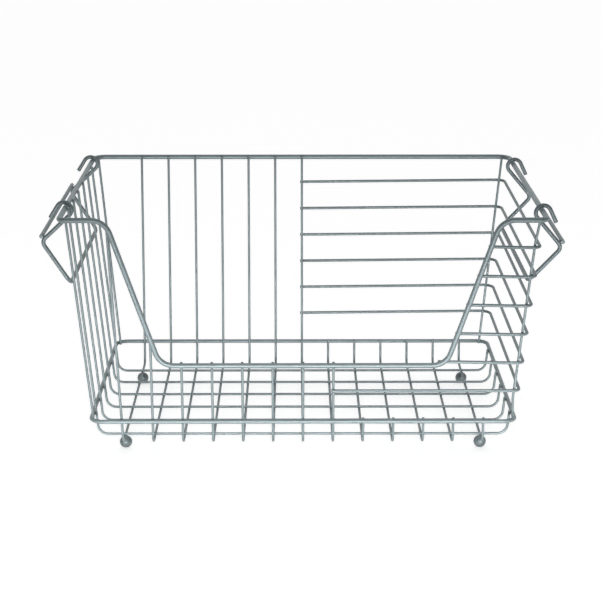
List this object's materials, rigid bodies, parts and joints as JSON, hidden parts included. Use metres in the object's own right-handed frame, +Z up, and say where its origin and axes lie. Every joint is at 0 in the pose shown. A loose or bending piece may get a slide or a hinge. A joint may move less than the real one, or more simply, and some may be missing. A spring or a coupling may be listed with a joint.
{
  "type": "wire locker basket",
  "caption": "Tapered wire-grid basket on ball feet with a scooped open front, a heavier rim, and a swinging wire bail hooked over the rim at each end.",
  "frame": {"origin": "middle of the basket on the surface that its four ball feet stand on", "axes": "+X towards the right-hand end with the wrap wires, -Y towards the scooped front, +Z up"},
  "size_m": [0.4908, 0.311, 0.2443],
  "materials": {
    "coated_frame": "semi-gloss powder coat",
    "coated_grid": "semi-gloss powder coat",
    "coated_handles": "semi-gloss powder coat"
  },
  "bodies": {
    "basket": {"top_rim": "coated_frame", "base_ring": "coated_frame", "cross_wire_01": "coated_grid", "cross_wire_02": "coated_grid", "cross_wire_03": "coated_grid", "cross_wire_04": "coated_grid", "cross_wire_05": "coated_grid", "cross_wire_06": "coated_grid", "cross_wire_07": "coated_grid", "cross_wire_08": "coated_grid", "cross_wire_09": "coated_grid", "cross_wire_10": "coated_grid", "cross_wire_11": "coated_grid", "cross_wire_12": "coated_grid", "cross_wire_13": "coated_grid", "floor_wire_1": "coated_grid", "floor_wire_2": "coated_grid", "floor_wire_3": "coated_grid", "floor_wire_4": "coated_grid", "floor_wire_5": "coated_grid", "floor_wire_6": "coated_grid", "wrap_wire_1": "coated_grid", "wrap_wire_2": "coated_grid", "wrap_wire_3": "coated_grid", "wrap_wire_4": "coated_grid", "wrap_wire_5": "coated_grid", "wrap_wire_6": "coated_grid", "post_back_left": "coated_grid", "post_back_right": "coated_grid", "post_front_left": "coated_grid", "post_front_right": "coated_grid", "foot_front_left": "coated_frame", "foot_front_right": "coated_frame", "foot_back_left": "coated_frame", "foot_back_right": "coated_frame"},
    "left_handle": {"left_bail": "coated_handles", "left_bail_rod": "coated_handles"},
    "right_handle": {"right_bail": "coated_handles", "right_bail_rod": "coated_handles"}
  },
  "joints": [
    {"name": "left_handle_swing", "type": "hinge", "parent": "basket", "child": "left_handle", "pos_m": [-0.2225, 0.0125, 0.237], "axis": [0, 1, 0], "range_deg": [-3.5, 301]},
    {"name": "right_handle_swing", "type": "hinge", "parent": "basket", "child": "right_handle", "pos_m": [0.2225, -0.002, 0.237], "axis": [0, -1, 0], "range_deg": [-2.9, 316.3]}
  ]
}
